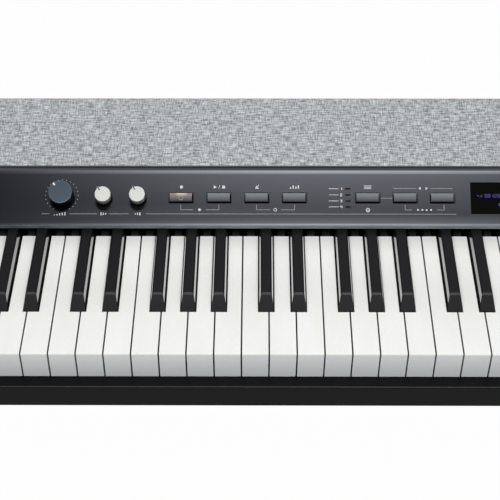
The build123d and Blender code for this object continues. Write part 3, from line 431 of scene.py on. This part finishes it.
# Keys: rounded where they show, dark on the arms under the panel. Heights and depths in metres
KEY_END = 0.0258
KEY_WAIST = 0.722
SHARP_FOOT = 0.736
FLANK = 0.7405
SIDEWAYS = 0.9  # a face whose normal leans further than this to one side is a side wall
SET_OVER = 0.0005
SIDE_IN = 0.00012
FRONT_BACK = 0.0007


def shows(edge):
    return all(v.co.y < KEY_END for v in edge.verts)


def stands_up(edge):
    return all(v.co.z > SHARP_FOOT for v in edge.verts)


def hidden_arm(middle, normal):
    return middle.y > KEY_END


def on_side(middle, normal):
    return abs(normal.x) > SIDEWAYS


def smooth_step(x, low, high):
    share = min(1.0, max(0.0, (x - low) / (high - low)))
    return share * share * (3 - 2 * share)


def set_over(bm):
    """Sets the upper parts of the keys near the middle of the keyboard a little to the right."""
    for v in bm.verts:
        if v.co.z > KEY_WAIST:
            v.co.x += SET_OVER * smooth_step(v.co.x, -0.24, -0.17) * (1 - smooth_step(v.co.x, 0.1, 0.45))


def narrow(bm):
    """Draws the sides and the fronts of the naturals in a little."""
    front = min(v.co.y for v in bm.verts)
    for v in bm.verts:
        if v.co.y < front + 0.001:
            v.co.y += FRONT_BACK
        side = [f.normal.x for f in v.link_faces if abs(f.normal.x) > SIDEWAYS]
        if side:
            v.co.x -= SIDE_IN * sum(side) / len(side)
    set_over(bm)


def mark_flank(bm):
    """Sets a sharp over as its neighbours are, and cuts its sides where the polish ends."""
    set_over(bm)
    cut(bm, (0, 0, FLANK), (0, 0, 1))


def on_flank(middle, normal):
    """True of the polished upper sides of a black key."""
    return middle.z > FLANK and abs(normal.x) > SIDEWAYS


def on_crease(middle, normal):
    """True of the crease between a black key's top and its slope."""
    return -0.6 < normal.y < -0.12 and normal.z > 0.6


# A black key's lower flanks take the black of painted shade
def at_foot(middle, normal):
    return middle.z < FLANK and abs(normal.x) > 0.6


for name, slot in slot_of.items():
    if slot == "white_key":
        eased(name, 0.0002, 2, shows, [(NATURAL_SIDE_PAINTED_SHADE, on_side), (ARM, hidden_arm)], shape=narrow)
    if slot == "black_key":
        zones = [(KEY_GLOSS, on_flank), (PAINTED_SHADE_BLACK, at_foot), (BLACK_CREASE_PAINTED_HIGHLIGHT, on_crease)]
        eased(name, 0.0004, 3, stands_up, zones, least=8, shape=mark_flank)


def in_slot(middle, normal):
    """True of the walls of the panel's openings, and of its underside."""
    spot = TO_FACE @ middle
    skin, front, rear = -0.16, 3, 47
    return spot.z < skin and front < spot.y < rear


def on_lip(middle, normal):
    return normal.y < -0.6


def on_flange(middle, normal):
    """True of the flat strip that runs back under the cloth."""
    return normal.z > 0.99 and middle.y > 0.06


def on_edge(middle, normal):
    """True of the round along the front of the key slip."""
    return normal.y < -0.2 and normal.z > 0.2


def bring_forward(bm):
    """Sets the slip's front wall out a little, and its lower edge up."""
    front = min(v.co.y for v in bm.verts)
    wall, out, lower_edge, up = 0.004, 0.0011, 0.690, 0.0024
    for v in bm.verts:
        if v.co.y < front + wall:
            v.co.y -= out
            if v.co.z < lower_edge:
                v.co.z += up


def carry_round(bm):
    """Sets the round at the back of the panel a little further up the slope."""
    start, carried = 44, 0.4
    for v in bm.verts:
        spot = TO_FACE @ v.co
        if spot.y > start:
            v.co = FACE @ Vector((spot.x, spot.y + carried, spot.z))


def lift_edge(bm):
    """Lifts the rear board's lower edge a little."""
    low = min(v.co.z for v in bm.verts)
    edge, lift = 0.005, 0.008
    for v in bm.verts:
        if v.co.z < low + edge:
            v.co.z += lift


# Case and stand
panel_zones = [(PAINTED_SHADE_BLACK, in_slot), (LIP_PAINTED_REFLECTION, on_lip), (FLANGE_PAINTED_REFLECTION, on_flange)]
eased("control_panel", 0.00015, 2, None, panel_zones, shape=carry_round)
eased("key_slip", 0.0003, 2, None, [(SLIP_EDGE_GLOSS_AND_HIGHLIGHT, on_edge)], shape=bring_forward)
eased("left_cheek", 0.0009, 3)
eased("right_cheek", 0.0009, 3)
for name in ("bottom_case", "rear_cover", "jack_plate", "display_window"):
    eased(name, 0.0004, 2)
for name in ("left_side_panel", "right_side_panel", "foot_bars"):
    eased(name, 0.0012, 3)
eased("rear_board", 0.0012, 3, shape=lift_edge)
for name in ("floor_pads", "case_feet"):
    eased(name, 0.002, 3)


def linen_sheet():
    """The cloth, with its front-facing hem at the foot in a flat darker grey as painted shade, drawn over the
    slope and down the back of the speaker band.
    """
    low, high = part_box("grille_cloth")
    foot = (0.0682, 0.7844)
    slope, reach, back = radians(25), 0.0709, 0.1382
    top = (foot[0] + reach * cos(slope), foot[1] + reach * sin(slope))
    line = [(0.0685, 0.7817), foot, top, (back, 0.8085), (back, 0.7985)]
    bm = bmesh.new()
    spots = [bm.verts.new((low.x, y, z)) for y, z in line]
    for pair in zip(spots, spots[1:]):
        bm.edges.new(pair)
    for folds, width in ((spots[1:2], 0.0006), (spots[2:4], 0.0016)):
        bmesh.ops.bevel(bm, geom=folds, offset=width, offset_type="OFFSET", segments=5, profile=0.5,
                        affect="VERTICES", clamp_overlap=True, material=-1)
    bmesh.ops.subdivide_edges(bm, edges=[e for e in bm.edges if e.calc_length() > 0.03], cuts=11)
    order = []
    spot = min(bm.verts, key=lambda v: (v.co - Vector((low.x, *line[0]))).length)
    length = {spot: 0.0}
    while spot:
        order.append(spot)
        onward = [(e.other_vert(spot), e.calc_length()) for e in spot.link_edges
                  if e.other_vert(spot) not in length]
        for other, step in onward:
            length[other] = length[spot] + step
        spot = onward[0][0] if onward else None
    along = [length[v] for v in order]
    places = [v.co.copy() for v in order]
    grown = bmesh.ops.extrude_edge_only(bm, edges=bm.edges[:])
    bmesh.ops.translate(bm, verts=[v for v in grown["geom"] if isinstance(v, bmesh.types.BMVert)],
                        vec=(high.x - low.x, 0, 0))
    wide = [e for e in bm.edges if abs(e.verts[0].co.x - e.verts[1].co.x) > 0.5]
    bmesh.ops.subdivide_edges(bm, edges=wide, cuts=47, use_grid_fill=True)
    bmesh.ops.recalc_face_normals(bm, faces=bm.faces)
    if sum(f.normal.z * f.calc_area() for f in bm.faces) < 0:
        bmesh.ops.reverse_faces(bm, faces=bm.faces)
    weave = bm.loops.layers.uv.new("weave")
    for face in bm.faces:
        # Faces turned to the front take the hem's painted shade
        face.material_index = int(face.normal.y < -0.9)
        for loop in face.loops:
            nearest = min(range(len(places)), key=lambda i: (places[i].yz - loop.vert.co.yz).length)
            loop[weave].uv = (loop.vert.co.x, along[nearest])
    cloth = piece("grille_linen", bm, CASE, "grille_cloth", FINISHES["grille_cloth"], HEM_PAINTED_SHADE)
    wall = cloth.modifiers.new("thickness", "SOLIDIFY")
    wall.thickness = 0.0007
    wall.offset = -1
    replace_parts(cloth, "grille_cloth")


linen_sheet()


def button_cap(name):
    """A crowned key cap with round corners, on the solid's own flange and stem."""
    bm = solid_of(name)
    bm.transform(TO_FACE)
    crest = max(v.co.z for v in bm.verts)
    posts = [e for e in corners(bm) if max(v.co.z for v in e.verts) > crest - 0.01
             and abs(e.verts[0].co.z - e.verts[1].co.z) > 1.0]
    ease_edges(bm, posts, 0.9, 4)
    half_depth, strip, crown = 4.55, 0.95, 0.95
    for step in range(-4, 5):
        cut(bm, (0, BUTTON_ROW + step * strip, 0), (0, 1, 0))
    middle = sum((v.co.x for v in bm.verts), 0.0) / len(bm.verts)
    flange, aside = -0.8, 0.35
    for v in bm.verts:
        if v.co.z > crest - 0.01:
            v.co.z += crown * (1 - ((v.co.y - BUTTON_ROW) / half_depth) ** 2)
        if v.co.z > flange:
            v.co.x += (middle - v.co.x) * 0.03 - aside
            v.co.y += (BUTTON_ROW - v.co.y) * 0.09 + aside
    rim = [e for e in bm.edges if len(e.link_faces) == 2 and min(v.co.z for v in e.verts) > crest - 0.1
           and e.calc_face_angle() > radians(50)]
    ease_edges(bm, rim, 0.3, 2)
    bm.normal_update()
    # The cap's sides take the black of painted shade
    for face in bm.faces:
        face.material_index = int(face.normal.z < 0.4)
    bm.transform(FACE)
    finish = RECORD_PAINTED_GLOW if name == "record_button" else FINISHES["button_grey"]
    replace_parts(piece(name + "_cap", bm, name, "button_grey", finish, PAINTED_SHADE_BLACK), name)


for name in slot_of:
    if name.endswith("_button"):
        button_cap(name)


# Print stands a hair proud of the panel and is sunk a hair into it
PRINT_BASE, PRINT_TOP = -0.02, 0.06


def bar(bm, x, y, width, height, turn=0.0, base=PRINT_BASE, top=PRINT_TOP):
    """A thin printed bar on the panel."""
    made = Matrix.Translation((x, y, (base + top) / 2)) @ Matrix.Rotation(radians(turn), 4, "Z")
    made = made @ Matrix.Diagonal((width, height, top - base, 1))
    bmesh.ops.create_cube(bm, size=1.0, matrix=made)


def dot(bm, x, y, radius, sides=20, turn=0.0, base=PRINT_BASE, top=PRINT_TOP):
    """A thin printed disc, or a triangle or diamond with three or four sides."""
    made = Matrix.Translation((x, y, (base + top) / 2)) @ Matrix.Rotation(radians(turn), 4, "Z")
    bmesh.ops.create_cone(bm, segments=sides, radius1=radius, radius2=radius, depth=top - base, cap_ends=True,
                          matrix=made)


def spin_round(bm, x, y, section, steps):
    bmesh.ops.spin(bm, geom=section, cent=(x, y, 0), axis=(0, 0, 1), angle=2 * pi, steps=steps,
                   use_merge=True)


def ring(bm, x, y, radius, width, base=PRINT_BASE, top=PRINT_TOP):
    """A thin printed ring."""
    section = [(radius - width, base), (radius, base), (radius, top), (radius - width, top)]
    spots = [bm.verts.new((x + r, y, z)) for r, z in section]
    edges = [bm.edges.new((spots[i], spots[(i + 1) % 4])) for i in range(4)]
    spin_round(bm, x, y, spots + edges, 28)


SEGMENTS = {"0": "abcdef", "1": "bc", "2": "abged", "3": "abgcd", "4": "fgbc", "5": "afgcd", "6": "afgedc",
            "7": "abc", "8": "abcdefg", "9": "abcdfg"}


def digit(bm, figure, x, y, height, stroke, base=PRINT_BASE, top=PRINT_TOP):
    """A plain figure of straight strokes."""
    half, wide = height / 2, height * 0.55
    strokes = {
        "a": (0, half, wide, stroke), "g": (0, 0, wide, stroke), "d": (0, -half, wide, stroke),
        "b": (wide / 2, half / 2, stroke, half), "c": (wide / 2, -half / 2, stroke, half),
        "f": (-wide / 2, half / 2, stroke, half), "e": (-wide / 2, -half / 2, stroke, half),
    }
    for letter in SEGMENTS[figure]:
        dx, dy, w, h = strokes[letter]
        bar(bm, x + dx, y + dy, w + stroke * 0.9, h + stroke * 0.1, 0.0, base, top)


def printed(name, bm, finish, body=CASE, slot="button_grey"):
    bmesh.ops.recalc_face_normals(bm, faces=bm.faces)
    bm.transform(FACE)
    piece(name, bm, body, slot, finish)


def panel_rules():
    """The long rule, the brackets that join buttons, and the volume knob's scale."""
    bm = bmesh.new()
    thin = 0.46
    for start, end in ((-419.6, -412.6), (-394.0, -368.6), (-357.5, -339.2), (-323.9, -39.2)):
        bar(bm, (start + end) / 2, 9.4, end - start, thin)
    brackets = ((-292.1, -281.0, -268.6, -257.1), (-222.5, -210.5, -200.0, -187.5),
                (-86.0, -79.8, -56.8, -50.3))
    for left, gap_left, gap_right, right in brackets:
        for post, start, end in ((left, left, gap_left), (right, gap_right, right)):
            bar(bm, post, 15.8, thin, 5.0)
            bar(bm, (start + end) / 2, 13.4, end - start + thin, thin)
    for start, end in ((-96.4, -75.8), (-62.2, -42.0)):
        bar(bm, (start + end) / 2, 34.1, end - start, thin)
    bar(bm, -102.8, 24.6, 10.6, thin)
    scale = 15.0
    for turn in range(-150, 151, 15):
        angle = radians(turn)
        dot(bm, VOLUME[0] + scale * sin(angle), VOLUME[1] + scale * cos(angle), 0.42, 10)
    printed("panel_rules", bm, RULE)


def panel_symbols():
    """Plain symbols and figures in the places of words."""
    bm = bmesh.new()
    # Record, play and stop, metronome, rhythm
    dot(bm, RECORD_X, 35.2, 1.5)
    dot(bm, -261.0, 35.2, 1.9, 3, 30)
    bar(bm, -256.9, 35.2, 0.4, 3.6, -18)
    bar(bm, -252.8, 35.2, 2.7, 2.7)
    dot(bm, -222.1, 34.7, 2.1, 3, 0)
    bar(bm, -221.2, 35.9, 0.4, 4.0, -32)
    for place, height in ((-3.6, 1.6), (-1.2, 3.2), (1.2, 2.2), (3.6, 3.2)):
        bar(bm, -187.5 + place, 33.6 + height / 2, 1.1, height)
    # Function, settings, tempo
    for row in (33.9, 35.2, 36.5):
        bar(bm, -120.1, row, 7.0, 0.6)
    ring(bm, -120.1, 13.2, 1.9, 0.7)
    dot(bm, -120.1, 13.2, 0.55)
    dot(bm, -72.0, 34.1, 1.6, 3, -30)
    dot(bm, -66.0, 34.1, 1.6, 3, 30)
    # In the brackets
    dot(bm, -274.8, 13.4, 1.6, 4)
    ring(bm, -205.2, 13.4, 1.6, 0.6)
    for place in (-6.0, -2.0, 2.0, 6.0):
        dot(bm, -68.3 + place, 13.4, 0.9)
    # Volume, bass and treble, on the rule
    for place in range(5):
        bar(bm, -408.0 + place * 2.4, 8.0 + 0.3 * (place + 1), 1.0, 0.7 + 0.6 * place)
    for place in range(3):
        bar(bm, -365.2 + place * 2.1, 9.4, 1.1, 2.8 - 0.8 * place)
        bar(bm, -333.7 + place * 2.1, 9.4, 1.1, 1.2 + 0.8 * place)
    for number, row in zip("1234", (33.7, 27.8, 22.0, 16.3)):
        digit(bm, number, -144.6, row, 2.2, 0.42)
        bar(bm, -151.5, row, 9.0, 0.5)
    # Right of the display
    for place, turn in ((94.0, -30), (128.6, 30)):
        dot(bm, place, 35.2, 1.7, 3, turn)
    ring(bm, 172.0, 35.2, 1.9, 0.5)
    bar(bm, 172.0, 36.6, 0.5, 2.2)
    printed("panel_symbols", bm, PRINT)


panel_rules()
panel_symbols()


def record_mark():
    """A pale ring on the record button's crown."""
    bm = bmesh.new()
    ring(bm, RECORD_X - 0.4, BUTTON_ROW - 0.6, 2.1, 0.45, 1.2, 2.06)
    printed("record_ring", bm, RULE, "record_button")


record_mark()


def display_figures():
    """Plain figures on the display, and a row of bars below them."""
    bm = bmesh.new()
    low, high = -0.02, 0.05
    dot(bm, -19.0, 27.0, 0.8, 12, 0, low, high)
    for place, height in ((-16.8, 1.6), (-15.4, 2.6)):
        bar(bm, place, 25.6 + height / 2, 0.6, height, 0, low, high)
    for place, figure in zip((-11.5, -8.6, -5.7, -2.8, 0.1), "00128"):
        digit(bm, figure, place, 27.0, 3.0, 0.4, low, high)
    for place, figure in zip((36.0, 39.0, 42.0), "120"):
        digit(bm, figure, place, 27.0, 3.0, 0.4, low, high)
    for place in range(14):
        bar(bm, 0.6 + place * 2.2, 18.5, 1.5, 2.6, 0, low, high)
    printed("display_figures", bm, GLYPH, slot="display_black")


display_figures()


STEM = [(0, -9.5), (3, -9.5), (3, 0.4)]


def turned(bm, x, row, profile, steps):
    """A profile turned about a knob's axis, closed at both ends."""
    spots = [bm.verts.new((x + r, row, z)) for r, z in profile]
    edges = [bm.edges.new(pair) for pair in zip(spots, spots[1:])]
    spin_round(bm, x, row, spots + edges, steps)
    bmesh.ops.remove_doubles(bm, verts=bm.verts, dist=1e-4)
    bmesh.ops.recalc_face_normals(bm, faces=bm.faces)


def paint(made, index):
    for v in made["verts"]:
        for face in v.link_faces:
            face.material_index = index


def volume_knob(x, row, radius, top, pointer):
    """Blue cap with a rim in a lighter blue as a painted highlight, on a black skirt."""
    bm = bmesh.new()
    cap = radius - 0.05
    skirt = [(radius, 0.4), (radius, top - 1.1), (cap, top - 0.8), (cap, top - 0.6)]
    rim = [(cap - 0.05, top - 0.37), (cap - 0.18, top - 0.18), (cap - 0.37, top - 0.05), (cap - 0.6, top)]
    turned(bm, x, row, STEM + skirt + rim + [(0, top)], 96)
    for face in bm.faces:
        middle = face.calc_center_median()
        face.material_index = 1 if middle.z < top - 0.6 else 2 if middle.z < top - 0.01 else 0
    aim = Matrix.Translation((x, row, top)) @ Matrix.Rotation(radians(pointer), 4, "Z")
    mark = aim @ Matrix.Translation((0, 9.4, 0)) @ Matrix.Diagonal((1.25, 2.7, 0.14, 1))
    paint(bmesh.ops.create_cube(bm, size=1.0, matrix=mark), 3)
    bm.transform(FACE)
    finishes = (FINISHES["knob_blue"], KNOB_BLACK_AND_SHADE, RIM_PAINTED_HIGHLIGHT, POINTER)
    made = piece("volume_knob_cap", bm, "volume_knob", "knob_blue", *finishes)
    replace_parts(made, "volume_knob")


def tone_knob(name, x, row, radius, top, pointer):
    """White cap with a pointed nib and a dark pointer line; painted shade makes the side below it grey and
    the collar black.
    """
    bm = bmesh.new()
    crown = radius - 0.1
    wide, side = crown + 0.5, 3.9
    collar = [(wide, 0.4), (wide, 3.6), (crown, side)]
    cap = [(crown, top - 0.6), (crown - 0.15, top - 0.2), (crown - 0.5, top), (0, top)]
    turned(bm, x, row, STEM + collar + cap, 72)
    aim = Matrix.Translation((x, row, 0)) @ Matrix.Rotation(radians(pointer), 4, "Z")
    beak = aim @ Matrix.Translation((0, 6.3, top - 2.0)) @ Matrix.Diagonal((1.35, 1, 1, 1))
    bmesh.ops.create_cone(bm, segments=3, radius1=2.2, radius2=2.4, depth=3.9, cap_ends=True, matrix=beak)
    for face in bm.faces:
        middle = face.calc_center_median().z
        # Painted shade: the collar black and the side grey below the white cap
        face.material_index = 2 if middle < side else int(middle < top - 0.62)
    mark = aim @ Matrix.Translation((0, 6.2, top)) @ Matrix.Diagonal((0.95, 3.8, 0.14, 1))
    paint(bmesh.ops.create_cube(bm, size=1.0, matrix=mark), 2)
    bm.transform(FACE)
    made = piece(name + "_cap", bm, name, "knob_white", FINISHES["knob_white"], TONE_SIDE_PAINTED_SHADE, KNOB_BLACK_AND_SHADE)
    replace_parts(made, name)


volume_knob(*VOLUME)
tone_knob("bass_knob", *BASS)
tone_knob("treble_knob", *TREBLE)

# The solids that stay as they are take their finish by slot
for name, node in nodes.items():
    for place in node.material_slots:
        place.material = FINISHES[slot_of[name]].owner


def white_floor():
    """A wide floor that is white to the eye and in reflections, and keeps the piano's shadow."""
    bm = bmesh.new()
    bmesh.ops.create_grid(bm, x_segments=1, y_segments=1, size=24.0)
    mesh = bpy.data.meshes.new("floor")
    bm.to_mesh(mesh)
    bm.free()
    floor = bpy.data.objects.new("floor", mesh)
    bpy.context.scene.collection.objects.link(floor)
    paper = material("floor_paper")
    paper.surface({"Base Color": (0.66, 0.66, 0.66, 1), "Roughness": 0.9, "Specular IOR Level": 0.1})
    camera = paper.node("ShaderNodeLightPath", {}, {}, "Is Camera Ray")
    glossy = paper.node("ShaderNodeLightPath", {}, {}, "Is Glossy Ray")
    through = paper.node("ShaderNodeLightPath", {}, {}, "Is Transmission Ray")
    white = paper.node("ShaderNodeEmission", {}, {"Color": (1, 1, 1, 1), "Strength": 1.0})
    lit = Value(paper, paper.shader.outputs[0])
    both = paper.node("ShaderNodeMixShader", {}, {0: (camera + glossy + through) * 0.98, 1: lit, 2: white})
    end = next(n for n in paper.tree.nodes if n.type == "OUTPUT_MATERIAL")
    paper.feed(end, {"Surface": both})
    mesh.materials.append(paper.owner)


def grey(level, blue=None):
    return (level, level, level if blue is None else blue, 1)


def studio_room():
    """Pale walls and a dark ceiling, with a soft glow over the piano."""
    world = bpy.data.worlds.new("studio")
    bpy.context.scene.world = world
    walls = Finish(world)
    across = walls.axis("Generated", (1, 1, 1), "X")
    back = walls.axis("Generated", (1, 1, 1), "Y")
    height = walls.axis("Generated", (1, 1, 1), "Z")
    behind = back.ease(-0.3, 0.3)
    low = walls.mix(behind, grey(0.08), grey(0.5))
    high = walls.mix(behind, grey(0.28, 0.29), grey(0.3, 0.305))
    room = walls.mix(height.ease(0.25, 0.6), low, high)
    room = walls.mix(height.ease(0.68, 0.9), room, grey(0.06, 0.062))
    glow = across.ease(-0.24, 0.05) * (1 - across.ease(0.03, 0.42))
    glow = glow * back.ease(-0.62, 0.4) * back.ease(-0.325, -0.245)
    glow = glow * (1 - back.ease(0.5, 0.8)) * height.ease(0.3, 0.5)
    glow = glow * (1 - 0.2 * back.ease(-0.2, 0.2))
    walls.surface({"Color": walls.mix(glow, room, grey(2.5)), "Strength": 1.0})


def front_light():
    """A soft light above the player."""
    place, aim = Vector((-0.2, -1.2, 2.35)), Vector((-0.2, 0.0, 0.74))
    lamp = bpy.data.lights.new("front", "AREA")
    lamp.shape = "RECTANGLE"
    lamp.size, lamp.size_y = 1.4, 0.55
    lamp.energy = 34.8
    held = bpy.data.objects.new("front", lamp)
    turn = (aim - place).to_track_quat("-Z", "Y").to_matrix().to_4x4()
    held.matrix_world = Matrix.Translation(place) @ turn
    bpy.context.scene.collection.objects.link(held)


def player_view():
    """The camera, in front of the keys and above them."""
    place = (-0.22045, -0.9227, 1.5832)
    swing, tip, roll = radians(0.488), radians(47.61), radians(-0.256)
    lens = bpy.data.cameras.new("camera")
    lens.lens = 98.8
    lens.sensor_width = 36.0
    eye = bpy.data.objects.new("camera", lens)
    turn = Matrix.Rotation(swing, 4, "Z") @ Matrix.Rotation(tip, 4, "X")
    eye.matrix_world = Matrix.Translation(place) @ turn @ Matrix.Rotation(roll, 4, "Z")
    bpy.context.scene.collection.objects.link(eye)
    bpy.context.scene.camera = eye
    bpy.context.scene.view_settings.view_transform = "Standard"


white_floor()
studio_room()
front_light()
player_view()
